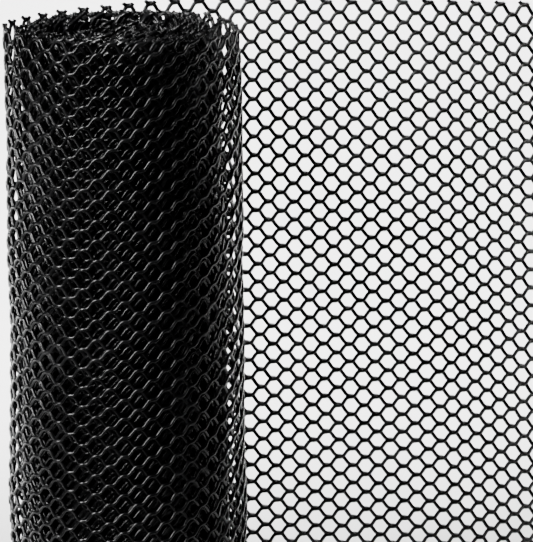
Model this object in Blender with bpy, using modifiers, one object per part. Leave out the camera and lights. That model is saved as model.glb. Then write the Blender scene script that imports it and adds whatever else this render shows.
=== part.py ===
"""Roll of black plastic chicken wire, standing on end with its loose end led out to one side.

The net's lower edge stands on z = 0, with the middle of the whole part's base at the origin. The
front is towards -Y. The roll's own axis is upright, at AXIS_AT.
The net is one long strip. Its wound turns are one solid, hollow as they are. The loose outer turns
and the free end are a sheet that starts at the step of the wound roll, goes round it and runs off
to the right behind it.
"""

import math
from collections import namedtuple

import bmesh
import bpy
import numpy as np

# Driving dimensions in metres
NET_HEIGHT = 0.497  # the strip's width, which stands upright here
NET_THICKNESS = 0.0026  # two crossing strands at a knot
TURN_GAP = 0.0003  # left between faces that lie on each other
COLUMN = 0.01033  # from one column of cells to the next
ROW = 0.015  # from one cell to the next in a column
KNOT_BAR = 0.0037  # length of the bar where two strands cross
STRAND = 0.0017
FLARE = 0.057  # the roll stands looser at its foot: this share wider there than at its top
LEAN = 0.0083  # how far a column of cells leans to the right from the top down
WOUND_DROP = 0.005  # the wound turns' top edge stands this much lower than the free end's
INNER_DROP = 0.004  # and that of the innermost turns this much lower again
INNER_OUTSIDE = 0.036  # distance from the last turn's centre inside which the top comes down
INNER_DROP_OVER = 0.006  # and over which it does so
AXIS_AT = (-0.1275, -0.0124)  # the roll's axis in plan, so that the whole part is centred

# The gaps of the solid net are twice the real pitch, with strands twice as wide
COARSER = 2
TOP_BARS_AT = 0.4946  # height of the upper row of bars
FIRST_GAP_AT = 0.045  # right of the roll's axis, where the gaps of the free end begin

# The winding from the outside in, with a row for each stage of it. Turns are counted from the back,
# and go left, front, right. A centre is measured from the roll's axis, and between two rows the
# centre and the radius change evenly.
Stage = namedtuple("Stage", "turns centre_x centre_y radius")
WINDING = (
    Stage(0.00, 0.0000, -0.0040, 0.0900),
    Stage(0.25, 0.0000, -0.0040, 0.0900),
    Stage(0.50, 0.0000, -0.0040, 0.0860),
    Stage(0.75, 0.0005, -0.0060, 0.0895),
    Stage(1.00, 0.0000, -0.0040, 0.0840),
    Stage(1.25, -0.0010, -0.0030, 0.0835),
    Stage(1.50, -0.0025, -0.0010, 0.0795),
    Stage(1.75, -0.0040, 0.0010, 0.0762),
    Stage(2.00, -0.0040, 0.0010, 0.0752),
    Stage(7.25, -0.0090, 0.0050, 0.0542),
    Stage(7.50, -0.0080, 0.0020, 0.0495),
    Stage(7.75, -0.0050, -0.0030, 0.0445),
    Stage(8.00, -0.0020, -0.0090, 0.0380),
    Stage(8.25, -0.0040, -0.0110, 0.0375),
    Stage(8.50, -0.0040, -0.0110, 0.0330),
    Stage(9.00, -0.0020, -0.0110, 0.0305),
    Stage(10.0, -0.0010, -0.0100, 0.0240),
    Stage(11.0, -0.0020, -0.0110, 0.0170),
    Stage(11.9, -0.0010, -0.0100, 0.0110),
)
LOOSE_FROM = 0.0625  # turns: before this the strip has left the roll
DROP_FROM = 0.25  # turns: from here the top edge comes down to that of the wound turns
WALL_FROM = 2.0  # turns: here the strip reaches the tight wall of the roll
WALL_TO = 7.25  # turns: here it leaves the wall for the loose turns inside
LAST_TURN = WINDING[-1].turns

# The free end in plan, from its cut end to where it joins the winding, measured from the same axis
Station = namedtuple("Station", "across back")
FREE_END = (
    Station(0.339, 0.0970),
    Station(0.305, 0.1050),
    Station(0.270, 0.1105),
    Station(0.230, 0.1135),
    Station(0.190, 0.1140),
    Station(0.150, 0.1135),
    Station(0.110, 0.1125),
    Station(0.075, 0.1095),
    Station(0.036, 0.1010),
    Station(0.000, 0.0900),
)
PER_TURN = 16  # points of the plan's cage in a turn
PLAN_STEPS = 1200  # short steps in which the plan is measured
RIM_STEP = 1 / 3  # points of the cage from one flat of the wound roll's rim to the next
HOLLOW_STEP = 0.5  # and of its hollow and inner turns
WELD = 0.00001
LEAST_CELL = 0.3  # a cell that a cut leaves smaller than this share stays solid
BLACK = (0.006, 0.006, 0.007, 1.0)


def clear_scene():
    for obj in list(bpy.data.objects):
        bpy.data.objects.remove(obj, do_unlink=True)


def new_collection(name):
    collection = bpy.data.collections.new(name)
    bpy.context.scene.collection.children.link(collection)
    return collection


def plastic(name, roughness):
    material = bpy.data.materials.new(name)
    material.use_nodes = True
    shader = material.node_tree.nodes["Principled BSDF"]
    shader.inputs["Base Color"].default_value = BLACK
    shader.inputs["Roughness"].default_value = roughness
    shader.inputs["Metallic"].default_value = 0.0
    return material


def wound_point(turns):
    """The plan point of the strip's middle after this many turns inwards."""
    stages = np.array(WINDING)
    x, y, radius = (np.interp(turns, stages[:, 0], stages[:, column]) for column in (1, 2, 3))
    angle = 2 * math.pi * turns
    return x - radius * math.sin(angle), y + radius * math.cos(angle)


def plan_cage():
    """Points of the whole strip in plan, from the cut end inwards."""
    count = round((LAST_TURN - LOOSE_FROM) * PER_TURN) + 1
    wound = [wound_point(LOOSE_FROM + step / PER_TURN) for step in range(count)]
    return np.array([tuple(station) for station in FREE_END] + wound)


CAGE = plan_cage()


def place_of(turns):
    """Where a point of the winding lies along the cage."""
    return len(FREE_END) + (turns - LOOSE_FROM) * PER_TURN


def plan_at(places):
    """Points and outward unit normals of the strip's middle, on a smooth curve through the cage."""
    ends = 2 * CAGE[[0, -1]] - CAGE[[1, -2]]
    cage = np.vstack([ends[:1], CAGE, ends[1:]])
    step = np.clip(np.floor(places).astype(int), 0, len(CAGE) - 2)
    t = (places - step)[:, None]
    a, b, c, d = (cage[step + k] for k in range(4))
    points = 0.5 * (2 * b + (c - a) * t + (2 * a - 5 * b + 4 * c - d) * t**2 + (3 * b - a - 3 * c + d) * t**3)
    tangents = 0.5 * ((c - a) + 2 * (2 * a - 5 * b + 4 * c - d) * t + 3 * (3 * b - a - 3 * c + d) * t**2)
    tangents /= np.linalg.norm(tangents, axis=1)[:, None]
    return points, np.stack([tangents[:, 1], -tangents[:, 0]], axis=1)


def placed(x, y, z):
    """A point of the straight winding, moved out or in as the roll flares to its foot."""
    share = 1 + FLARE * (0.5 - z / NET_HEIGHT)
    return AXIS_AT[0] + x * share, AXIS_AT[1] + y * share, z


def side_of(first, last, offset, step):
    """One side of the strip in plan, from one place on the cage to another."""
    count = max(2, round(abs(last - first) / step) + 1)
    points, normals = plan_at(np.linspace(first, last, count))
    return points + offset * normals


def prism(name, outlines, collection):
    """A plate with the first outline as its rim and the others as holes, as tall as the net."""
    curve = bpy.data.curves.new(name, "CURVE")
    curve.dimensions = "2D"
    curve.fill_mode = "BOTH"
    curve.extrude = NET_HEIGHT / 2
    for outline in outlines:
        spline = curve.splines.new("POLY")
        spline.points.add(len(outline) - 1)
        for point, (x, y) in zip(spline.points, outline):
            point.co = (x, y, 0, 1)
        spline.use_cyclic_u = True
    guide = bpy.data.objects.new(name + "_outline", curve)
    collection.objects.link(guide)
    return meshed(guide, name, collection)


def meshed(guide, name, collection):
    """The evaluated guide as one welded mesh object, in place of the guide."""
    graph = bpy.context.evaluated_depsgraph_get()
    mesh = bpy.data.meshes.new_from_object(guide.evaluated_get(graph))
    mesh.name = name
    bpy.data.objects.remove(guide, do_unlink=True)
    work = bmesh.new()
    work.from_mesh(mesh)
    bmesh.ops.remove_doubles(work, verts=work.verts, dist=WELD)
    bmesh.ops.recalc_face_normals(work, faces=work.faces)
    work.to_mesh(mesh)
    work.free()
    obj = bpy.data.objects.new(name, mesh)
    collection.objects.link(obj)
    return obj


def wound_roll(collection, material):
    """The tight wall and the loose turns inside it, with the hollow between them."""
    half = NET_THICKNESS / 2
    rim = side_of(place_of(WALL_FROM), place_of(WALL_FROM + 1), half, RIM_STEP)
    facing_in = side_of(place_of(WALL_TO - 1), place_of(LAST_TURN), -half, HOLLOW_STEP)
    facing_out = side_of(place_of(LAST_TURN), place_of(WALL_TO), half, HOLLOW_STEP)
    roll = prism("wound_roll", [rim, np.vstack([facing_in, facing_out])], collection)
    centre = (WINDING[-1].centre_x, WINDING[-1].centre_y)
    for vertex in roll.data.vertices:
        x, y, z = vertex.co
        inner = (INNER_OUTSIDE - math.dist((x, y), centre)) / INNER_DROP_OVER
        top = NET_HEIGHT - WOUND_DROP - INNER_DROP * min(1, max(0, inner))
        vertex.co = placed(x, y, top if z > 0 else 0)
    roll.data.materials.append(material)
    roll.data.set_sharp_from_angle(angle=math.radians(35))
    return roll


def cell_corners(middle_s, middle_z):
    """The six corners of a cell on the flat strip, leaning as the columns do."""
    bar = COARSER * KNOT_BAR / 2
    tip = COARSER * (COLUMN - KNOT_BAR / 2)
    high = COARSER * ROW / 2
    corners = ((-bar, high), (-tip, 0), (-bar, -high), (bar, -high), (tip, 0), (bar, high))
    flat = [(middle_s + ds, middle_z + dz) for ds, dz in corners]
    return [(s - LEAN * (0.5 - z / NET_HEIGHT), z) for s, z in flat]


def cut(work, at, axis, keep_above):
    """Trims the flat strip square at a place along an axis."""
    origin = [0.0, 0.0, 0.0]
    origin[axis] = at
    normal = [0.0, 0.0, 0.0]
    normal[axis] = 1.0
    parts = work.verts[:] + work.edges[:] + work.faces[:]
    bmesh.ops.bisect_plane(
        work,
        geom=parts,
        dist=WELD / 10,
        plane_co=origin,
        plane_no=normal,
        clear_inner=keep_above,
        clear_outer=not keep_above,
    )


def net_faces(work, first_s, last_s):
    """The cells of the free end on the flat strip, with a gap cut through each."""
    columns = range(math.floor(first_s / (COARSER * COLUMN)) - 1, math.ceil(last_s / (COARSER * COLUMN)) + 2)
    rows = math.ceil(NET_HEIGHT / (COARSER * ROW)) + 1
    for column in columns:
        for row in range(rows):
            below = row + 0.5 * (column % 2)
            middle_z = TOP_BARS_AT - (below - 0.5) * COARSER * ROW
            corners = cell_corners(column * COARSER * COLUMN, middle_z)
            work.faces.new([work.verts.new((s, 0, z)) for s, z in corners])
    bmesh.ops.remove_doubles(work, verts=work.verts, dist=WELD)
    cut(work, first_s, 0, True)
    cut(work, last_s, 0, False)
    cut(work, 0, 2, True)
    cut(work, NET_HEIGHT, 2, False)
    least = LEAST_CELL * COARSER**2 * COLUMN * ROW
    cells = [face for face in work.faces if face.calc_area() > least]
    bmesh.ops.inset_individual(work, faces=cells, thickness=COARSER * STRAND / 2, use_even_offset=True)
    bmesh.ops.delete(work, geom=cells, context="FACES")


def plain_faces(work, lines, net_from):
    """The stretch without gaps on the flat strip, one face between each two upright lines."""
    seam = [vertex for vertex in work.verts if abs(vertex.co.x - net_from) < WELD]
    seam.sort(key=lambda vertex: vertex.co.z)
    for s in lines:
        low = work.verts.new((s, 0, 0))
        high = work.verts.new((s, 0, NET_HEIGHT))
        work.faces.new([low] + seam + [high])
        seam = [low, high]


def loose_end(collection, material):
    """The loose outer turns and the free end, cut flat and then bent round the roll."""
    points, normals = plan_at(np.linspace(0, place_of(WALL_FROM), PLAN_STEPS))
    along = np.concatenate([[0], np.cumsum(np.linalg.norm(np.diff(points, axis=0), axis=1))])
    ends_at = along[-1] - TURN_GAP
    drop_from = along[round(PLAN_STEPS * place_of(DROP_FROM) / place_of(WALL_FROM))]
    net_to = along[np.argmax(points[:, 0] < FIRST_GAP_AT)]
    work = bmesh.new()
    net_faces(work, 0.0, net_to)
    bends = np.linspace(net_to, ends_at, round((ends_at - net_to) / COLUMN) + 1)[1:]
    plain_faces(work, bends, net_to)
    bmesh.ops.recalc_face_normals(work, faces=work.faces)
    mesh = bpy.data.meshes.new("loose_end_flat")
    work.to_mesh(mesh)
    work.free()
    flat = bpy.data.objects.new("loose_end_flat", mesh)
    collection.objects.link(flat)
    thick = flat.modifiers.new("thickness", "SOLIDIFY")
    thick.thickness = NET_THICKNESS
    thick.offset = 0.0
    sheet = meshed(flat, "loose_end", collection)
    for vertex in sheet.data.vertices:
        s, inward, z = vertex.co
        x, y = (np.interp(s, along, points[:, axis] - inward * normals[:, axis]) for axis in (0, 1))
        drop = WOUND_DROP * max(0, s - drop_from) / (along[-1] - drop_from)
        vertex.co = placed(x, y, z * (1 - drop / NET_HEIGHT))
    sheet.data.materials.append(material)
    return sheet


def main():
    clear_scene()
    collection = new_collection("chicken_wire_roll")
    wound_roll(collection, plastic("extruded_polyethylene_wound", 0.5))
    loose_end(collection, plastic("extruded_polyethylene_loose", 0.4))


main()
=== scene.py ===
"""Looks of the roll of plastic chicken wire: its strands, knots, cut edges and plastic.

The net is modelled as it is made: two sets of extruded strands, one on each face, which run up
across each other and are fused where they cross, so that six-sided cells stay open between them.
Each piece of the net is a stretch of the one long strip, wound nearly as the solids are.
"""

import math
from collections import namedtuple

import bmesh
import bpy
import numpy as np
from bpy.props import FloatProperty, IntProperty, PointerProperty, StringProperty
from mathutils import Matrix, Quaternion, Vector


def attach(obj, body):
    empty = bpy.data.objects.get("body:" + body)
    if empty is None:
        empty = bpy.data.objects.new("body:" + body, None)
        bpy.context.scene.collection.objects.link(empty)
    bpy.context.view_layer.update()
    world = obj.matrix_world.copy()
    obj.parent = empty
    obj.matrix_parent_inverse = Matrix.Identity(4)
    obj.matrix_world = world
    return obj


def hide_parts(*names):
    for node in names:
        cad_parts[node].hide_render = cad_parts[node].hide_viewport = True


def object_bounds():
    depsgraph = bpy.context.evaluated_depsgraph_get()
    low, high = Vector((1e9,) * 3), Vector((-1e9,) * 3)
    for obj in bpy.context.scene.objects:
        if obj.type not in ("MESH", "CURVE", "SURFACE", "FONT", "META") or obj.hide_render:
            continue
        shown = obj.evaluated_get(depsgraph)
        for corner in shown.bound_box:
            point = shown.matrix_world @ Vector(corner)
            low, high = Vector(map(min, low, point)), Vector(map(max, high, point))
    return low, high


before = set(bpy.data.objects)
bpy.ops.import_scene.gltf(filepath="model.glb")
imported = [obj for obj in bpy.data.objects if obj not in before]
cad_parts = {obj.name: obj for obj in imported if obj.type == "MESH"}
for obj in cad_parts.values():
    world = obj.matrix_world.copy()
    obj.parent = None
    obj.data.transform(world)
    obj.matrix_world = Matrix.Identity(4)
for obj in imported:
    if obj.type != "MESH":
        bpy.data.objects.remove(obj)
SOLIDS_BOX = [list(map(float, corner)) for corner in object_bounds()]

bl_info = {
    "name": "Chicken Wire Roll",
    "version": (1, 0, 0),
    "blender": (4, 5, 0),
    "location": "View3D > Sidebar > Chicken Wire",
    "description": "Builds a roll of hexagonal plastic net with its free end led out",
    "category": "Add Mesh",
}

BODY = "root"
NET_HEIGHT = SOLIDS_BOX[1][2] - SOLIDS_BOX[0][2]  # the strip's width, which stands upright here

# The winding from the outside in. It is that of the solids, fitted more closely to the photographed
# top edge: at the back left it lies up to 16 mm nearer the axis. Turns are counted from the back, and
# go left, front, right. A centre is measured from the roll's axis.
AXIS_AT = (-0.1275, -0.0124)
Stage = namedtuple("Stage", "turns centre_x centre_y radius")
WINDING = (
    Stage(0.0000, 0.0000, -0.0060, 0.0930),
    Stage(0.0625, 0.0000, -0.0060, 0.0795),
    Stage(0.1100, 0.0000, -0.0060, 0.0762),
    Stage(0.1500, 0.0000, -0.0060, 0.0755),
    Stage(0.1900, 0.0000, -0.0060, 0.0770),
    Stage(0.2300, 0.0000, -0.0060, 0.0816),
    Stage(0.2700, 0.0000, -0.0060, 0.0870),
    Stage(0.3000, 0.0000, -0.0060, 0.0895),
    Stage(0.3750, 0.0000, -0.0060, 0.0880),
    Stage(0.5000, 0.0000, -0.0060, 0.0860),
    Stage(0.7500, 0.0005, -0.0090, 0.0893),
    Stage(0.9000, 0.0005, -0.0060, 0.0870),
    Stage(1.0000, 0.0000, -0.0060, 0.0800),
    Stage(1.1250, 0.0000, -0.0060, 0.0724),
    Stage(1.1875, -0.0005, -0.0060, 0.0733),
    Stage(1.2500, -0.0010, -0.0060, 0.0780),
    Stage(1.3750, -0.0010, -0.0060, 0.0800),
    Stage(1.5000, -0.0010, -0.0060, 0.0800),
    Stage(1.7500, -0.0010, -0.0060, 0.0765),
    Stage(2.0000, -0.0010, -0.0060, 0.0755),
    Stage(7.2500, -0.0070, -0.0010, 0.0528),
    Stage(7.5000, -0.0070, -0.0020, 0.0495),
    Stage(7.7500, -0.0050, -0.0050, 0.0445),
    Stage(8.0000, -0.0020, -0.0100, 0.0380),
    Stage(8.2500, -0.0040, -0.0120, 0.0375),
    Stage(8.5000, -0.0040, -0.0120, 0.0330),
    Stage(9.0000, -0.0020, -0.0120, 0.0305),
    Stage(10.000, -0.0010, -0.0110, 0.0240),
    Stage(11.000, -0.0020, -0.0120, 0.0170),
    Stage(11.900, -0.0010, -0.0110, 0.0110),
)
DENT = 0.0065  # the wall's turns are pressed in this far at the back left
DENT_AT = 0.14  # turns
DENT_NARROWING = 4  # power of the cosine that the dent follows round the roll
LOOSE_FROM = 0.0625  # turns: before this the strip has left the roll
DROP_FROM = 0.25  # turns: from here the top edge comes down to that of the wound turns
DROP_TO = 1.0  # turns: and here it has done so
SAG_AT = 0.75  # turns: here the loose turn's top edge dips lowest
SAG_OVER = 0.3  # turns: and it is level again this far on
WALL_FROM = 2.0  # turns: here the strip reaches the tight wall of the roll
WALL_TO = 7.25  # turns: here it leaves the wall for the loose turns inside
LAST_TURN = WINDING[-1].turns

# The free end in plan, from its cut end to where it joins the winding, measured from the same axis
Station = namedtuple("Station", "across back")
FREE_END = (
    Station(0.339, 0.0970),
    Station(0.305, 0.1050),
    Station(0.270, 0.1105),
    Station(0.230, 0.1135),
    Station(0.190, 0.1140),
    Station(0.150, 0.1135),
    Station(0.112, 0.1142),
    Station(0.0945, 0.1158),
    Station(0.0745, 0.1170),
    Station(0.0544, 0.1157),
    Station(0.0353, 0.1094),
    Station(0.0174, 0.0998),
    Station(0.0000, 0.0888),
    Station(-0.0169, 0.0770),
)
PER_TURN = 16  # points of the plan's cage in a turn
PLAN_FINENESS = 12  # short straight steps between two points of the cage

# Stretches of the strip, each a piece of its own. Across are a strand's corners, and along its points
# from one column to the next. Full is a strand's thickness as a share of that on the free end: less
# where turns would run into each other, and more inside the wall, which then lets less light through.
Stretch = namedtuple("Stretch", "name first_turns last_turns node slot across along full")
OUTER_STRETCHES = (
    Stretch("outer_turn_left", 0.0, 0.5, "loose_end", "loose_net", 5, 8, 0.84),
    Stretch("outer_turn_right", 0.5, 1.0, "loose_end", "loose_net", 5, 8, 0.82),
    Stretch("second_turn", 1.0, WALL_FROM, "loose_end", "loose_net", 4, 5, 0.88),
)
WALL_STRETCHES = (
    Stretch("wall_outside", WALL_FROM, 3.25, "wound_roll", "wound_net", 3, 4, 0.88),
    Stretch("wall_middle", 3.25, 5.25, "wound_roll", "wound_net", 3, 3, 1.1),
    Stretch("wall_inside", 5.25, WALL_TO, "wound_roll", "wound_net", 3, 3, 1.1),
)
INNER_STRETCHES = (
    Stretch("inner_turns", WALL_TO, LAST_TURN, "wound_roll", "wound_net", 3, 3, 0.84),
)
FREE_STRETCH = Stretch("free_end", None, 0.0, "loose_end", "loose_net", 5, 8, 1.0)


def linear(hex_colour):
    """An sRGB hex colour as linear red, green, blue and alpha."""
    parts = [int(hex_colour[place : place + 2], 16) / 255 for place in (1, 3, 5)]
    return tuple(p / 12.92 if p <= 0.04045 else ((p + 0.055) / 1.055) ** 2.4 for p in parts) + (1.0,)


def add_node(tree, kind, inputs=(), **settings):
    """A new node with its settings. Each input takes a value, a socket or a node's first output."""
    made = tree.nodes.new(kind)
    for name, value in settings.items():
        setattr(made, name, value)
    named = inputs.items() if isinstance(inputs, dict) else enumerate(inputs)
    for key, value in named:
        if isinstance(value, bpy.types.Node):
            value = value.outputs[0]
        if isinstance(value, bpy.types.NodeSocket):
            tree.links.new(value, made.inputs[key])
        elif value is not None:
            made.inputs[key].default_value = value
    return made


def length(name, description, default, precision):
    """A size in metres that a user can change."""
    return FloatProperty(
        name=name, description=description, default=default, unit="LENGTH", precision=precision
    )


class NetSizes(bpy.types.PropertyGroup):
    """Sizes of the net as it is extruded."""

    column: length("Column", "Width of a column of cells", 0.01027, 5)
    end_column: length(
        "End column", "Width of a column near the cut end, where the net is pulled in", 0.0095, 5
    )
    end_columns: FloatProperty(
        name="End columns", description="How many columns are pulled in", default=9.5
    )
    first_knots: length("First knots", "Distance from the cut end to the first column of knots", 0.003, 4)
    row: length("Row", "Height of a cell", 0.015, 4)
    half_rows: IntProperty(
        name="Half rows", description="Half cells from the lowest knots to the highest", default=65
    )
    low_knots: length("Low knots", "Height of the lowest knots", 0.0053, 4)
    row_slack: length("Row slack", "How far rows sink at three quarters of the height", 0.0028, 4)
    strand: length("Strand", "Thickness of a strand between knots", 0.0032, 4)
    knot_swell: FloatProperty(
        name="Knot swell", description="Share by which a strand is thicker at a knot", default=0.12
    )
    bar: FloatProperty(name="Bar", description="How level the strands run at a knot", default=1.1)
    bar_length: FloatProperty(
        name="Bar length", description="How long the level bar at a knot is", default=-0.15
    )
    over: length("Over", "How far one set runs above the other at a knot", 0.0008, 5)
    apart: length("Apart", "Distance between the two sets of strands", 0.0009, 5)
    lean: length("Lean", "How far a column leans over the net's height", 0.0083, 4)


class RollSizes(bpy.types.PropertyGroup):
    """Sizes of the roll that the net is wound into."""

    flare: FloatProperty(
        name="Flare",
        description="How much wider the roll is at its foot than at its top, as a share of its width",
        default=0.057,
    )
    wound_drop: length("Wound drop", "How much lower the top edge of the wound turns is", 0.003, 4)
    sag: length("Sag", "How far the outer turn's edge dips on its right side", 0.0025, 4)
    inner_drop: length("Inner drop", "How much lower again the innermost turns are", 0.004, 4)
    inner_outside: length(
        "Inner outside", "Distance from the innermost turn's centre where that begins", 0.036, 4
    )
    inner_over: length("Inner over", "Distance over which it does so", 0.006, 4)
    wave: length("Wave", "Scale of the net's waves out of its plane", 0.0016, 4)
    wave_length: length("Wave length", "Size of the patches that wave together", 0.075, 3)
    slack: length("Slack", "Width of the range in which a knot strays within the net", 0.0011, 4)
    slack_length: length("Slack length", "Size of the patches that stray together", 0.022, 3)
    uneven: length("Uneven", "Scale by which the wound turns' edges stand out of line", 0.005, 4)
    uneven_length: length("Uneven length", "Length of the strip over which they do so", 0.23, 3)
    bow: length("Bow", "Scale by which the wound turns' rows bow up or down", 0.012, 4)
    seed: IntProperty(name="Seed", description="Fixed seed of the waves", default=7)


class Finishes(bpy.types.PropertyGroup):
    """Colours of the net and of the floor."""

    plastic: StringProperty(name="Plastic", description="Colour of the net, as sRGB hex", default="#0a0a0b")
    dust: StringProperty(
        name="Dust", description="Colour where dust and scuffs show, as sRGB hex", default="#1b1b1c"
    )
    floor: StringProperty(
        name="Floor", description="Colour of the floor and backdrop, as sRGB hex", default="#d2d2d2"
    )


def wound_point(turns):
    """The plan point of the strip's middle after this many turns inwards."""
    stages = np.array(WINDING)
    x, y, radius = (np.interp(turns, stages[:, 0], stages[:, column]) for column in (1, 2, 3))
    angle = 2 * math.pi * turns
    if WALL_FROM <= turns <= WALL_TO:
        radius -= DENT * max(0.0, math.cos(angle - 2 * math.pi * DENT_AT)) ** DENT_NARROWING
    return x - radius * math.sin(angle), y + radius * math.cos(angle)


def plan_points():
    """The whole strip in plan, from its cut end inwards, on a smooth curve through the cage."""
    count = round((LAST_TURN - LOOSE_FROM) * PER_TURN) + 1
    wound = [wound_point(LOOSE_FROM + step / PER_TURN) for step in range(count)]
    cage = np.array([tuple(station) for station in FREE_END] + wound)
    places = np.linspace(0, len(cage) - 1, (len(cage) - 1) * PLAN_FINENESS + 1)
    ends = 2 * cage[[0, -1]] - cage[[1, -2]]
    step = np.clip(np.floor(places).astype(int), 0, len(cage) - 2)
    t = (places - step)[:, None]
    cage = np.vstack([ends[:1], cage, ends[1:]])
    a, b, c, d = (cage[step + k] for k in range(4))
    return 0.5 * (2 * b + (c - a) * t + (2 * a - 5 * b + 4 * c - d) * t**2 + (3 * b - a - 3 * c + d) * t**3)


PLAN = plan_points()
ALONG = np.concatenate([[0], np.cumsum(np.linalg.norm(np.diff(PLAN, axis=0), axis=1))])


def along_at(turns):
    """How far along the strip from its cut end a place of the winding lies."""
    place = (len(FREE_END) + (turns - LOOSE_FROM) * PER_TURN) * PLAN_FINENESS
    return ALONG[min(round(place), len(ALONG) - 1)]


def column_at(turns, net):
    """The column of knots nearest to a place of the winding."""
    pulled_in = net.end_columns * (net.column - net.end_column)
    return round((along_at(turns) - net.first_knots + pulled_in) / net.column)


def path_object(name):
    """The plan of the strip as a line of edges, for the net's node tree to follow."""
    mesh = bpy.data.meshes.new(name)
    points = [(x, y, 0) for x, y in PLAN]
    mesh.from_pydata(points, [(k, k + 1) for k in range(len(points) - 1)], [])
    obj = bpy.data.objects.new(name, mesh)
    bpy.context.scene.collection.objects.link(obj)
    return obj


NET_INPUTS = (
    ("Path", "NodeSocketGeometry"),
    ("First column", "NodeSocketInt"),
    ("Columns", "NodeSocketInt"),
    ("Points a column", "NodeSocketInt"),
    ("Corners", "NodeSocketInt"),
    ("Column", "NodeSocketFloat"),
    ("End column", "NodeSocketFloat"),
    ("End columns", "NodeSocketFloat"),
    ("First knots", "NodeSocketFloat"),
    ("Row", "NodeSocketFloat"),
    ("Half rows", "NodeSocketInt"),
    ("Low knots", "NodeSocketFloat"),
    ("Row slack", "NodeSocketFloat"),
    ("Strand", "NodeSocketFloat"),
    ("Knot swell", "NodeSocketFloat"),
    ("Bar", "NodeSocketFloat"),
    ("Bar length", "NodeSocketFloat"),
    ("Over", "NodeSocketFloat"),
    ("Apart", "NodeSocketFloat"),
    ("Lean", "NodeSocketFloat"),
    ("Height", "NodeSocketFloat"),
    ("Axis", "NodeSocketVector"),
    ("Flare", "NodeSocketFloat"),
    ("Drop from", "NodeSocketFloat"),
    ("Drop to", "NodeSocketFloat"),
    ("Wound drop", "NodeSocketFloat"),
    ("Sag at", "NodeSocketFloat"),
    ("Sag over", "NodeSocketFloat"),
    ("Sag", "NodeSocketFloat"),
    ("Inner centre", "NodeSocketVector"),
    ("Inner outside", "NodeSocketFloat"),
    ("Inner over", "NodeSocketFloat"),
    ("Inner drop", "NodeSocketFloat"),
    ("Wave", "NodeSocketFloat"),
    ("Wave length", "NodeSocketFloat"),
    ("Slack", "NodeSocketFloat"),
    ("Slack length", "NodeSocketFloat"),
    ("Uneven", "NodeSocketFloat"),
    ("Uneven length", "NodeSocketFloat"),
    ("Bow", "NodeSocketFloat"),
    ("Seed", "NodeSocketInt"),
    ("Plastic", "NodeSocketMaterial"),
)
LOW_STUB = 0.62  # columns that a strand runs on below its lowest knot
HIGH_STUB = 0.4  # and above its highest
TRIM_REACH = 0.99  # steps past its stub to which a strand keeps its points, before they are drawn in
SPARE_STRANDS = 3  # more than the columns and half rows come to, for the ends of both sets
# Factors on the noise. As measured, a wave reaches 1.4 times its scale with them and a bow 0.7 times,
# and an edge moves by up to 0.7 times its scale at the top and 1.2 times at the foot.
WAVE_SPREAD = 4
UNEVEN_SPREAD = 2
BOW_SPREAD = 8
LEVEL_NOISE = (0.5, 0.5, 0.2)  # noise values at which the top edge, the rows and the foot stay level
SMOOTH_OVER = 0.05  # radians by which an edge may be sharper than a strand's own corners
MATHS = "ShaderNodeMath"
VECTORS = "ShaderNodeVectorMath"


def net_tree():
    """The node tree that lays a stretch of the net along its path."""
    tree = bpy.data.node_groups.new("net_along_path", "GeometryNodeTree")
    for name, kind in NET_INPUTS:
        tree.interface.new_socket(name, in_out="INPUT", socket_type=kind)
    tree.interface.new_socket("Net", in_out="OUTPUT", socket_type="NodeSocketGeometry")
    given = tree.nodes.new("NodeGroupInput").outputs
    strands, strand_number, side = strand_lines(tree, given)
    strands, climbed, column = strand_climb(tree, given, strands, strand_number, side)
    strands = strand_places(tree, given, strands, climbed, column)
    net = strand_walls(tree, given, strands, climbed)
    add_node(tree, "NodeGroupOutput", (net,))
    return tree


def strand_lines(tree, given):
    """One line for each strand of either set, with its number and the side that it lies on."""
    steps = add_node(tree, MATHS, (given["Columns"], given["Points a column"]), operation="MULTIPLY")
    points = add_node(tree, MATHS, (steps, 1), operation="ADD")
    line = add_node(tree, "GeometryNodeMeshLine", {"Count": points})
    line = add_node(tree, "GeometryNodeMeshToCurve", (line,))
    reach = add_node(tree, MATHS, (given["Columns"], given["Half rows"]), operation="ADD")
    amount = add_node(tree, MATHS, (reach, SPARE_STRANDS), operation="ADD")
    copies = add_node(
        tree, "GeometryNodeDuplicateElements", {"Geometry": line, "Amount": amount}, domain="SPLINE"
    )
    copy = copies.outputs["Duplicate Index"]
    inner = add_node(tree, MATHS, (copy, 2), operation="MODULO")
    side = add_node(tree, MATHS, (inner, -2, 1), operation="MULTIPLY_ADD")
    pair = add_node(tree, MATHS, (copy, inner), operation="SUBTRACT")
    even = add_node(tree, MATHS, (given["First column"], 2), operation="FLOORED_MODULO")
    start = add_node(tree, MATHS, (given["First column"], even), operation="SUBTRACT")
    base = add_node(tree, MATHS, (start, pair), operation="ADD")
    span = add_node(tree, MATHS, (given["Half rows"], inner), operation="MULTIPLY")
    number = add_node(tree, MATHS, (base, given["Half rows"]), operation="SUBTRACT")
    number = add_node(tree, MATHS, (number, span), operation="ADD")
    number = add_node(tree, MATHS, (number, inner), operation="ADD")
    return copies, number, side


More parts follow.
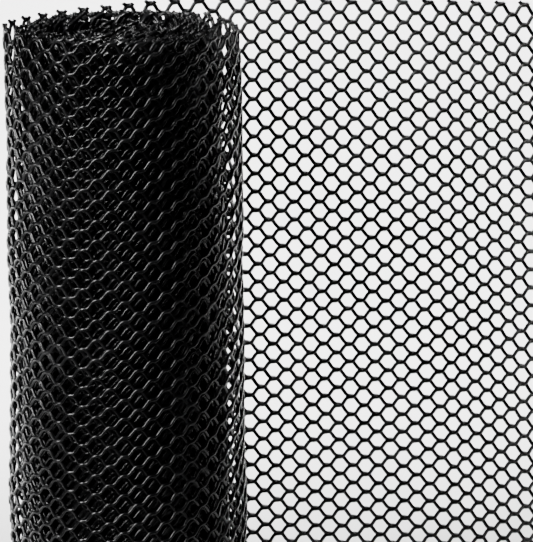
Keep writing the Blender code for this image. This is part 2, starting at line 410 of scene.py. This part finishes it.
def strand_climb(tree, given, strands, number, side):
    """How many columns each point has climbed from its strand's foot, trimmed to the net's edges."""
    place = add_node(tree, "GeometryNodeSplineParameter").outputs["Index"]
    across = add_node(tree, MATHS, (place, given["Points a column"]), operation="DIVIDE")
    column = add_node(tree, MATHS, (across, given["First column"]), operation="ADD")
    behind = add_node(tree, MATHS, (column, number), operation="SUBTRACT")
    raw = add_node(tree, MATHS, (behind, side), operation="MULTIPLY")
    high = add_node(tree, MATHS, (given["Half rows"], HIGH_STUB), operation="ADD")
    margin = add_node(tree, MATHS, (TRIM_REACH, given["Points a column"]), operation="DIVIDE")
    over = add_node(tree, MATHS, (high, margin), operation="ADD")
    under = add_node(tree, MATHS, (-LOW_STUB, margin), operation="SUBTRACT")
    too_high = add_node(tree, MATHS, (raw, over), operation="GREATER_THAN")
    too_low = add_node(tree, MATHS, (raw, under), operation="LESS_THAN")
    outside = add_node(tree, MATHS, (too_high, too_low), operation="ADD")
    kept = add_node(
        tree,
        "GeometryNodeStoreNamedAttribute",
        {"Geometry": strands, "Name": "climbed", "Value": raw},
        data_type="FLOAT",
        domain="POINT",
    )
    kept = add_node(
        tree,
        "GeometryNodeStoreNamedAttribute",
        {"Geometry": kept, "Name": "strand", "Value": number},
        data_type="FLOAT",
        domain="POINT",
    )
    kept = add_node(
        tree,
        "GeometryNodeStoreNamedAttribute",
        {"Geometry": kept, "Name": "side", "Value": side},
        data_type="FLOAT",
        domain="POINT",
    )
    kept = add_node(
        tree, "GeometryNodeDeleteGeometry", {"Geometry": kept, "Selection": outside}, domain="POINT"
    )
    stored = add_node(tree, "GeometryNodeInputNamedAttribute", {"Name": "climbed"}, data_type="FLOAT")
    climbed = add_node(tree, "ShaderNodeClamp", {"Value": stored, "Min": -LOW_STUB, "Max": high})
    number = add_node(tree, "GeometryNodeInputNamedAttribute", {"Name": "strand"}, data_type="FLOAT")
    side = add_node(tree, "GeometryNodeInputNamedAttribute", {"Name": "side"}, data_type="FLOAT")
    column = add_node(tree, MATHS, (climbed, side, number), operation="MULTIPLY_ADD")
    return kept, climbed, column


def strand_places(tree, given, strands, climbed, column):
    """Moves each point to its place on the path, with the roll's flare and the net's slack."""
    side = add_node(tree, "GeometryNodeInputNamedAttribute", {"Name": "side"}, data_type="FLOAT")
    # The climb is level at each knot and steep between knots
    angle = add_node(tree, MATHS, (climbed, 2 * math.pi), operation="MULTIPLY")
    double = add_node(tree, MATHS, (climbed, 4 * math.pi), operation="MULTIPLY")
    first = add_node(tree, MATHS, (angle,), operation="SINE")
    second = add_node(tree, MATHS, (double,), operation="SINE")
    bar = add_node(tree, MATHS, (given["Bar"], -1 / (2 * math.pi)), operation="MULTIPLY")
    bar_length = add_node(tree, MATHS, (given["Bar length"], -1 / (4 * math.pi)), operation="MULTIPLY")
    rise = add_node(tree, MATHS, (first, bar, climbed), operation="MULTIPLY_ADD")
    rise = add_node(tree, MATHS, (second, bar_length, rise), operation="MULTIPLY_ADD")
    half_row = add_node(tree, MATHS, (given["Row"], 0.5), operation="MULTIPLY")
    straight = add_node(tree, MATHS, (rise, half_row, given["Low knots"]), operation="MULTIPLY_ADD")
    half_over = add_node(tree, MATHS, (given["Over"], 0.5), operation="MULTIPLY")
    straight = add_node(tree, MATHS, (side, half_over, straight), operation="MULTIPLY_ADD")
    below_top = add_node(tree, MATHS, (given["Half rows"], rise), operation="SUBTRACT")
    share_down = add_node(tree, MATHS, (below_top, given["Half rows"]), operation="DIVIDE", use_clamp=True)
    root = add_node(tree, MATHS, (share_down,), operation="SQRT")
    root = add_node(tree, MATHS, (root, math.pi), operation="MULTIPLY")
    sink = add_node(tree, MATHS, (root,), operation="SINE")
    sink = add_node(tree, MATHS, (sink, sink), operation="MULTIPLY")
    sink = add_node(tree, MATHS, (sink, given["Row slack"]), operation="MULTIPLY")
    height = add_node(tree, MATHS, (straight, sink), operation="SUBTRACT")
    # The columns are narrower near the cut end, and lean
    pulled_in = add_node(tree, MATHS, (given["Column"], given["End column"]), operation="SUBTRACT")
    near_end = add_node(tree, MATHS, (column, given["End columns"]), operation="MINIMUM")
    loss = add_node(tree, MATHS, (pulled_in, near_end), operation="MULTIPLY")
    along = add_node(tree, MATHS, (column, given["Column"], given["First knots"]), operation="MULTIPLY_ADD")
    along = add_node(tree, MATHS, (along, loss), operation="SUBTRACT")
    share_up = add_node(tree, MATHS, (height, given["Height"]), operation="DIVIDE")
    from_middle = add_node(tree, MATHS, (0.5, share_up), operation="SUBTRACT")
    lean = add_node(tree, MATHS, (from_middle, given["Lean"]), operation="MULTIPLY")
    along = add_node(tree, MATHS, (along, lean), operation="SUBTRACT")
    # Waves out of the net's plane, and knots that stray within it
    spot = add_node(tree, "ShaderNodeCombineXYZ", (along, height, given["Seed"]))
    per_wave = add_node(tree, MATHS, (1, given["Wave length"]), operation="DIVIDE")
    wave_spot = add_node(tree, VECTORS, {0: spot, "Scale": per_wave}, operation="SCALE")
    wave = add_node(
        tree, "ShaderNodeTexNoise", {"Vector": wave_spot, "Scale": 1, "Detail": 1}, noise_dimensions="3D"
    )
    wave = add_node(tree, MATHS, (wave, 0.5), operation="SUBTRACT")
    wave = add_node(tree, MATHS, (wave, given["Wave"]), operation="MULTIPLY")
    wave = add_node(tree, MATHS, (wave, WAVE_SPREAD), operation="MULTIPLY")
    per_slack = add_node(tree, MATHS, (1, given["Slack length"]), operation="DIVIDE")
    slack_spot = add_node(tree, VECTORS, {0: spot, "Scale": per_slack}, operation="SCALE")
    slack = add_node(
        tree, "ShaderNodeTexNoise", {"Vector": slack_spot, "Scale": 1, "Detail": 0}, noise_dimensions="3D"
    )
    slack = add_node(tree, VECTORS, (slack.outputs["Color"], (0.5, 0.5, 0.5)), operation="SUBTRACT")
    slack = add_node(tree, VECTORS, {0: slack, "Scale": given["Slack"]}, operation="SCALE")
    slack = add_node(tree, "ShaderNodeSeparateXYZ", (slack,))
    along = add_node(tree, MATHS, (along, slack.outputs["X"]), operation="ADD")
    height = add_node(tree, MATHS, (height, slack.outputs["Y"]), operation="ADD")
    # The place on the path, and out from it to the strand's own side
    path = add_node(tree, "GeometryNodeMeshToCurve", (given["Path"],))
    sample = add_node(
        tree,
        "GeometryNodeSampleCurve",
        {"Curves": path, "Length": along},
        mode="LENGTH",
        use_all_curves=True,
    )
    outward = add_node(tree, VECTORS, (sample.outputs["Tangent"], (0, 0, 1)), operation="CROSS_PRODUCT")
    half_apart = add_node(tree, MATHS, (given["Apart"], 0.5), operation="MULTIPLY")
    off = add_node(tree, MATHS, (half_apart, side, wave), operation="MULTIPLY_ADD")
    outward = add_node(tree, VECTORS, {0: outward, "Scale": off}, operation="SCALE")
    flat = add_node(tree, VECTORS, (sample.outputs["Position"], outward), operation="ADD")
    from_centre = add_node(tree, VECTORS, (flat, given["Inner centre"]), operation="DISTANCE")
    from_centre = from_centre.outputs["Value"]
    widened = add_node(tree, MATHS, (from_middle, given["Flare"], 1), operation="MULTIPLY_ADD")
    flat = add_node(tree, VECTORS, {0: flat, "Scale": widened}, operation="SCALE")
    # The top edge comes down towards the inside of the roll
    wound = add_node(tree, "ShaderNodeMapRange", (along, given["Drop from"], given["Drop to"], 0, 1))
    uneven_spot = add_node(tree, MATHS, (along, given["Uneven length"]), operation="DIVIDE")
    uneven = add_node(
        tree, "ShaderNodeTexNoise", {"W": uneven_spot, "Scale": 1, "Detail": 1}, noise_dimensions="1D"
    )
    uneven = add_node(tree, VECTORS, (uneven.outputs["Color"], LEVEL_NOISE), operation="SUBTRACT")
    sizes = add_node(tree, "ShaderNodeCombineXYZ", (given["Uneven"], given["Bow"], given["Uneven"]))
    uneven = add_node(tree, VECTORS, (uneven, sizes), operation="MULTIPLY")
    uneven = add_node(tree, VECTORS, {0: uneven, "Scale": wound}, operation="SCALE")
    uneven = add_node(tree, "ShaderNodeSeparateXYZ", (uneven,))
    dropped = add_node(tree, MATHS, (wound, given["Wound drop"]), operation="MULTIPLY")
    dropped = add_node(
        tree, MATHS, (uneven.outputs["X"], UNEVEN_SPREAD, dropped), operation="MULTIPLY_ADD"
    )
    from_sag = add_node(tree, MATHS, (along, given["Sag at"]), operation="SUBTRACT")
    from_sag = add_node(tree, MATHS, (from_sag,), operation="ABSOLUTE")
    sagging = add_node(
        tree,
        "ShaderNodeMapRange",
        (from_sag, 0, given["Sag over"], given["Sag"], 0),
        interpolation_type="SMOOTHSTEP",
    )
    dropped = add_node(tree, MATHS, (dropped, sagging), operation="ADD")
    inner = add_node(tree, MATHS, (given["Inner outside"], from_centre), operation="SUBTRACT")
    inner = add_node(tree, MATHS, (inner, given["Inner over"]), operation="DIVIDE", use_clamp=True)
    dropped = add_node(tree, MATHS, (inner, given["Inner drop"], dropped), operation="MULTIPLY_ADD")
    kept_share = add_node(tree, MATHS, (dropped, given["Height"]), operation="DIVIDE")
    kept_share = add_node(tree, MATHS, (1, kept_share), operation="SUBTRACT")
    lifted = add_node(tree, MATHS, (uneven.outputs["Z"], UNEVEN_SPREAD), operation="MULTIPLY")
    lifted = add_node(tree, MATHS, (lifted, 0), operation="MAXIMUM")
    share_down = add_node(tree, MATHS, (1, share_up), operation="SUBTRACT")
    lifted = add_node(tree, MATHS, (lifted, share_down), operation="MULTIPLY")
    bowed = add_node(tree, MATHS, (share_up, share_down), operation="MULTIPLY")
    bowed = add_node(tree, MATHS, (bowed, BOW_SPREAD), operation="MULTIPLY")
    lifted = add_node(tree, MATHS, (bowed, uneven.outputs["Y"], lifted), operation="MULTIPLY_ADD")
    height = add_node(tree, MATHS, (height, kept_share, lifted), operation="MULTIPLY_ADD")
    up = add_node(tree, "ShaderNodeCombineXYZ", (0, 0, height))
    place = add_node(tree, VECTORS, (flat, up), operation="ADD")
    place = add_node(tree, VECTORS, (place, given["Axis"]), operation="ADD")
    top = add_node(tree, MATHS, (kept_share, given["Height"]), operation="MULTIPLY")
    kept = add_node(
        tree,
        "GeometryNodeStoreNamedAttribute",
        {"Geometry": strands, "Name": "top", "Value": top},
        data_type="FLOAT",
        domain="POINT",
    )
    return add_node(tree, "GeometryNodeSetPosition", {"Geometry": kept, "Position": place})


def strand_walls(tree, given, strands, climbed):
    """Round strands that swell at the knots, cut level at the net's edges."""
    angle = add_node(tree, MATHS, (climbed, 2 * math.pi), operation="MULTIPLY")
    near = add_node(tree, MATHS, (angle,), operation="COSINE")
    near = add_node(tree, MATHS, (near, 0.5, 0.5), operation="MULTIPLY_ADD")
    near = add_node(tree, MATHS, (near, near), operation="MULTIPLY")
    swell = add_node(tree, MATHS, (near, given["Knot swell"], 1), operation="MULTIPLY_ADD")
    half = add_node(tree, MATHS, (given["Strand"], 0.5), operation="MULTIPLY")
    radius = add_node(tree, MATHS, (half, swell), operation="MULTIPLY")
    circle = add_node(
        tree, "GeometryNodeCurvePrimitiveCircle", {"Resolution": given["Corners"], "Radius": 1}
    )
    walls = add_node(
        tree,
        "GeometryNodeCurveToMesh",
        {"Curve": strands, "Profile Curve": circle, "Scale": radius, "Fill Caps": True},
    )
    place = add_node(tree, "GeometryNodeInputPosition")
    parts = add_node(tree, "ShaderNodeSeparateXYZ", (place,))
    top = add_node(tree, "GeometryNodeInputNamedAttribute", {"Name": "top"}, data_type="FLOAT")
    height = add_node(tree, "ShaderNodeClamp", {"Value": parts.outputs["Z"], "Min": 0.0, "Max": top})
    trimmed = add_node(tree, "ShaderNodeCombineXYZ", (parts.outputs["X"], parts.outputs["Y"], height))
    walls = add_node(tree, "GeometryNodeSetPosition", {"Geometry": walls, "Position": trimmed})
    walls = add_node(tree, "GeometryNodeRealizeInstances", (walls,))
    return add_node(tree, "GeometryNodeSetMaterial", {"Geometry": walls, "Material": given["Plastic"]})


def set_inputs(modifier, values):
    """Sets the node tree's named inputs by their sockets' identifiers."""
    for item in modifier.node_group.interface.items_tree:
        if item.in_out == "INPUT" and item.name in values:
            modifier[item.identifier] = values[item.name]


def net_piece(stretch, plastic):
    """A stretch of the net as one mesh object, attached to its body, with the solid that it stands for
    hidden.
    """
    scene = bpy.context.scene
    net, roll = scene.net_sizes, scene.roll_sizes
    first = 0 if stretch.first_turns is None else column_at(stretch.first_turns, net)
    last = column_at(stretch.last_turns, net)
    # A strand with few corners has less girth than a round one, so it's drawn that much larger
    fullness = math.pi / (stretch.across * math.sin(math.pi / stretch.across))
    guide = path_object(stretch.name + "_path")
    modifier = guide.modifiers.new("net", "NODES")
    modifier.node_group = bpy.data.node_groups.get("net_along_path") or net_tree()
    set_inputs(modifier, {
        "First column": first,
        "Columns": last - first,
        "Points a column": stretch.along,
        "Corners": stretch.across,
        "Column": net.column,
        "End column": net.end_column,
        "End columns": net.end_columns,
        "First knots": net.first_knots,
        "Row": net.row,
        "Half rows": net.half_rows,
        "Low knots": net.low_knots,
        "Row slack": net.row_slack,
        "Strand": net.strand * stretch.full * fullness,
        "Knot swell": net.knot_swell,
        "Bar": net.bar,
        "Bar length": net.bar_length,
        "Over": net.over,
        "Apart": net.apart,
        "Lean": net.lean,
        "Height": NET_HEIGHT,
        "Axis": (*AXIS_AT, 0.0),
        "Flare": roll.flare,
        "Drop from": float(along_at(DROP_FROM)),
        "Drop to": float(along_at(DROP_TO)),
        "Wound drop": roll.wound_drop,
        "Sag at": float(along_at(SAG_AT)),
        "Sag over": float(along_at(SAG_AT + SAG_OVER) - along_at(SAG_AT)),
        "Sag": roll.sag,
        "Inner centre": (WINDING[-1].centre_x, WINDING[-1].centre_y, 0.0),
        "Inner outside": roll.inner_outside,
        "Inner over": roll.inner_over,
        "Inner drop": roll.inner_drop,
        "Wave": roll.wave,
        "Wave length": roll.wave_length,
        "Slack": roll.slack,
        "Slack length": roll.slack_length,
        "Uneven": roll.uneven,
        "Uneven length": roll.uneven_length,
        "Bow": roll.bow,
        "Seed": roll.seed,
        "Plastic": plastic,
    })
    graph = bpy.context.evaluated_depsgraph_get()
    mesh = bpy.data.meshes.new_from_object(guide.evaluated_get(graph))
    bpy.data.objects.remove(guide, do_unlink=True)
    mesh.name = stretch.name
    mesh.shade_smooth()
    mesh.set_sharp_from_angle(angle=2 * math.pi / stretch.across + SMOOTH_OVER)
    piece = bpy.data.objects.new(stretch.name, mesh)
    scene.collection.objects.link(piece)
    declare(piece, stretch, first, last)
    return piece


def declare(piece, stretch, first, last):
    """Ties a piece to its body and hides the solid that it stands for. The flat length of the sheet it was
    cut from is worked out but not used.
    """
    net = bpy.context.scene.net_sizes
    flat_length = (last - first) * net.column
    if first < net.end_columns:
        flat_length -= net.end_columns * (net.column - net.end_column)
    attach(piece, BODY)
    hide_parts(stretch.node)


RIPPLE = 0.0009  # metres between the ripples that the die leaves round a strand
STRAND_A_COLUMN = 1.25  # length of a strand from one column to the next, in columns
GRAIN = 0.15  # height of the ripples against the grain between them
RELIEF = 0.06
RELIEF_DEPTH = 0.0001
DUST_PATCH = 0.03  # metres across a dusty patch
DUSTY = (0.45, 0.8)  # noise values from which dust shows, and at which it is thickest
WORN = (0.3, 0.7)  # noise values between which the plastic goes from its smoothest to its dullest
ROUGHNESS = (0.22, 0.3)
POLYETHYLENE_IOR = 1.51


def extruded_polyethylene():
    """Extruded black polyethylene: soft gloss, fine ripples round the strands, a little dust."""
    colours = bpy.context.scene.finishes
    name = "extruded_black_polyethylene"
    material = bpy.data.materials.get(name)
    if material:
        return material
    material = bpy.data.materials.new(name)
    material.use_nodes = True
    tree = material.node_tree
    shader = tree.nodes["Principled BSDF"]
    shader.inputs["Base Color"].default_value = (0, 0, 0, 1)
    shader.inputs["Metallic"].default_value = 0.0
    shader.inputs["IOR"].default_value = POLYETHYLENE_IOR
    place = add_node(tree, "ShaderNodeTexCoord").outputs["Object"]
    # Dust lies in soft patches, and makes the black greyer and duller there. Inputs 6 and 7 of the mix
    # are its two colours, and output 2 is the mixed one.
    patches = add_node(tree, "ShaderNodeTexNoise", {"Vector": place, "Scale": 1 / DUST_PATCH, "Detail": 3})
    dusty = add_node(tree, "ShaderNodeMapRange", (patches, *DUSTY, 0, 1))
    colour = add_node(
        tree,
        "ShaderNodeMix",
        {0: dusty, 6: linear(colours.plastic), 7: linear(colours.dust)},
        data_type="RGBA",
    )
    roughness = add_node(tree, "ShaderNodeMapRange", (patches, *WORN, *ROUGHNESS))
    # The ripples run round each strand, over the grain of the plastic
    climbed = add_node(tree, "ShaderNodeAttribute", attribute_name="climbed").outputs["Fac"]
    turns = bpy.context.scene.net_sizes.column * STRAND_A_COLUMN / RIPPLE * 2 * math.pi
    ripple = add_node(tree, MATHS, (climbed, turns), operation="MULTIPLY")
    ripple = add_node(tree, MATHS, (ripple,), operation="SINE")
    grain = add_node(tree, "ShaderNodeTexNoise", {"Vector": place, "Scale": 1 / RIPPLE, "Detail": 2})
    relief = add_node(tree, MATHS, (ripple, GRAIN, grain), operation="MULTIPLY_ADD")
    bump = add_node(
        tree, "ShaderNodeBump", {"Strength": RELIEF, "Distance": RELIEF_DEPTH, "Height": relief}
    )
    tree.links.new(colour.outputs[2], shader.inputs["Base Color"])
    tree.links.new(roughness.outputs[0], shader.inputs["Roughness"])
    tree.links.new(bump.outputs[0], shader.inputs["Normal"])
    return material


BOARD_ROUGHNESS = 0.9


def painted_board():
    """Matt painted board for the floor and the backdrop."""
    material = bpy.data.materials.new("matt_painted_board")
    material.use_nodes = True
    shader = material.node_tree.nodes["Principled BSDF"]
    shader.inputs["Base Color"].default_value = linear(bpy.context.scene.finishes.floor)
    shader.inputs["Roughness"].default_value = BOARD_ROUGHNESS
    return material


# Studio sizes in metres
SWEEP_WIDTH = 12.0
SWEEP_FRONT = -0.25  # the net is black, so nothing pale lies before it for it to mirror
SWEEP_BACK = 3.2
SWEEP_RADIUS = 1.2
SWEEP_HEIGHT = 4.0
SWEEP_STEPS = 12  # straight steps in its bend
WORLD_STRENGTH = 0.018
Softbox = namedtuple("Softbox", "name place aim width height turn spread watts")
SOFTBOXES = (
    Softbox("key", (-1.70, -1.05, 1.45), (-0.13, 0.0, 0.3), 0.45, 1.8, 12, 180, 92),
    Softbox("backdrop", (0.0, 2.75, 1.2), (0.0, 2.75, 0.0), 2.8, 5.0, 0, 60, 330),
)
PHOTO_WIDTH = 533  # pixels
FOCAL_PIXELS = 2600  # focal length, in the photograph's pixels
SENSOR_WIDTH = 36.0  # millimetres
CAMERA_AT = (0.1582, -1.9135, 0.7891)  # from the roll's axis at floor level
CAMERA_DOWN = 14.23  # degrees
CAMERA_LEFT = 1.507  # degrees


def sweep():
    """A seamless floor and backdrop: a profile run sideways across the studio."""
    profile = [(SWEEP_FRONT, 0.0)]
    for step in range(SWEEP_STEPS + 1):
        angle = math.radians(90) * step / SWEEP_STEPS
        profile.append((SWEEP_BACK + SWEEP_RADIUS * math.sin(angle), SWEEP_RADIUS * (1 - math.cos(angle))))
    profile.append((SWEEP_BACK + SWEEP_RADIUS, SWEEP_HEIGHT))
    work = bmesh.new()
    line = [work.verts.new((-SWEEP_WIDTH / 2, y, z)) for y, z in profile]
    edges = [work.edges.new(pair) for pair in zip(line, line[1:])]
    run = bmesh.ops.extrude_edge_only(work, edges=edges)
    moved = [part for part in run["geom"] if isinstance(part, bmesh.types.BMVert)]
    bmesh.ops.translate(work, verts=moved, vec=(SWEEP_WIDTH, 0, 0))
    bmesh.ops.recalc_face_normals(work, faces=work.faces)
    mesh = bpy.data.meshes.new("studio_sweep")
    work.to_mesh(mesh)
    work.free()
    mesh.shade_smooth()
    floor = bpy.data.objects.new("studio_sweep", mesh)
    bpy.context.scene.collection.objects.link(floor)
    floor.data.materials.append(painted_board())
    return floor


def softboxes():
    """Area lights on the roll, and one on the floor behind it."""
    for box in SOFTBOXES:
        light = bpy.data.lights.new(box.name, "AREA")
        light.shape = "RECTANGLE"
        light.size, light.size_y, light.energy = box.width, box.height, box.watts
        light.spread = math.radians(box.spread)
        obj = bpy.data.objects.new(box.name, light)
        obj.location = box.place
        facing = (Vector(box.aim) - Vector(box.place)).to_track_quat("-Z", "Y")
        obj.rotation_euler = (facing @ Quaternion((0, 0, 1), math.radians(box.turn))).to_euler()
        bpy.context.scene.collection.objects.link(obj)


def photo_camera():
    """A camera at the photograph's angle, a little above the roll and looking down at it."""
    lens = bpy.data.cameras.new("photo_camera")
    lens.sensor_fit = "HORIZONTAL"
    lens.sensor_width = SENSOR_WIDTH
    lens.lens = FOCAL_PIXELS / PHOTO_WIDTH * SENSOR_WIDTH
    camera = bpy.data.objects.new("photo_camera", lens)
    x, y, z = CAMERA_AT
    camera.location = (AXIS_AT[0] + x, AXIS_AT[1] + y, z)
    camera.rotation_euler = (math.radians(90 - CAMERA_DOWN), 0, math.radians(CAMERA_LEFT))
    bpy.context.scene.collection.objects.link(camera)
    bpy.context.scene.camera = camera


def studio_world():
    """Faint even light from all round."""
    world = bpy.data.worlds.new("studio_white")
    world.use_nodes = True
    background = world.node_tree.nodes["Background"]
    background.inputs["Color"].default_value = (1, 1, 1, 1)
    background.inputs["Strength"].default_value = WORLD_STRENGTH
    bpy.context.scene.world = world


class ROLL_OT_free_end(bpy.types.Operator):
    """Builds the free end of the net"""

    bl_idname = "roll.free_end"
    bl_label = "Free End"

    def execute(self, context):
        net_piece(FREE_STRETCH, extruded_polyethylene())
        return {"FINISHED"}


class ROLL_OT_outer_turns(bpy.types.Operator):
    """Builds the two loose turns round the roll"""

    bl_idname = "roll.outer_turns"
    bl_label = "Outer Turns"

    def execute(self, context):
        for stretch in OUTER_STRETCHES:
            net_piece(stretch, extruded_polyethylene())
        return {"FINISHED"}


class ROLL_OT_wall_turns(bpy.types.Operator):
    """Builds the tight turns of the roll's wall"""

    bl_idname = "roll.wall_turns"
    bl_label = "Wall Turns"

    def execute(self, context):
        for stretch in WALL_STRETCHES:
            net_piece(stretch, extruded_polyethylene())
        return {"FINISHED"}


class ROLL_OT_inner_turns(bpy.types.Operator):
    """Builds the loose turns in the roll's hollow"""

    bl_idname = "roll.inner_turns"
    bl_label = "Inner Turns"

    def execute(self, context):
        for stretch in INNER_STRETCHES:
            net_piece(stretch, extruded_polyethylene())
        return {"FINISHED"}


class ROLL_OT_stage(bpy.types.Operator):
    """Builds the studio: floor and backdrop, lights and camera"""

    bl_idname = "roll.stage"
    bl_label = "Studio"

    def execute(self, context):
        sweep()
        softboxes()
        studio_world()
        photo_camera()
        return {"FINISHED"}


OPERATORS = (ROLL_OT_free_end, ROLL_OT_outer_turns, ROLL_OT_wall_turns, ROLL_OT_inner_turns, ROLL_OT_stage)


class ROLL_PT_panel(bpy.types.Panel):
    """Lists what builds the roll"""

    bl_idname = "ROLL_PT_panel"
    bl_label = "Chicken Wire"
    bl_space_type = "VIEW_3D"
    bl_region_type = "UI"
    bl_category = "Chicken Wire"

    def draw(self, context):
        for group in (context.scene.net_sizes, context.scene.roll_sizes, context.scene.finishes):
            for name in type(group).__annotations__:
                self.layout.prop(group, name)
        for operator in OPERATORS:
            self.layout.operator(operator.bl_idname)


CLASSES = (NetSizes, RollSizes, Finishes, *OPERATORS, ROLL_PT_panel)


def register():
    for kind in CLASSES:
        bpy.utils.register_class(kind)
    bpy.types.Scene.net_sizes = PointerProperty(type=NetSizes)
    bpy.types.Scene.roll_sizes = PointerProperty(type=RollSizes)
    bpy.types.Scene.finishes = PointerProperty(type=Finishes)


def unregister():
    del bpy.types.Scene.finishes
    del bpy.types.Scene.roll_sizes
    del bpy.types.Scene.net_sizes
    for kind in reversed(CLASSES):
        bpy.utils.unregister_class(kind)


def main():
    register()
    bpy.ops.roll.free_end()
    bpy.ops.roll.outer_turns()
    bpy.ops.roll.wall_turns()
    bpy.ops.roll.inner_turns()
    bpy.ops.roll.stage()


if __name__ == "__main__":
    main()
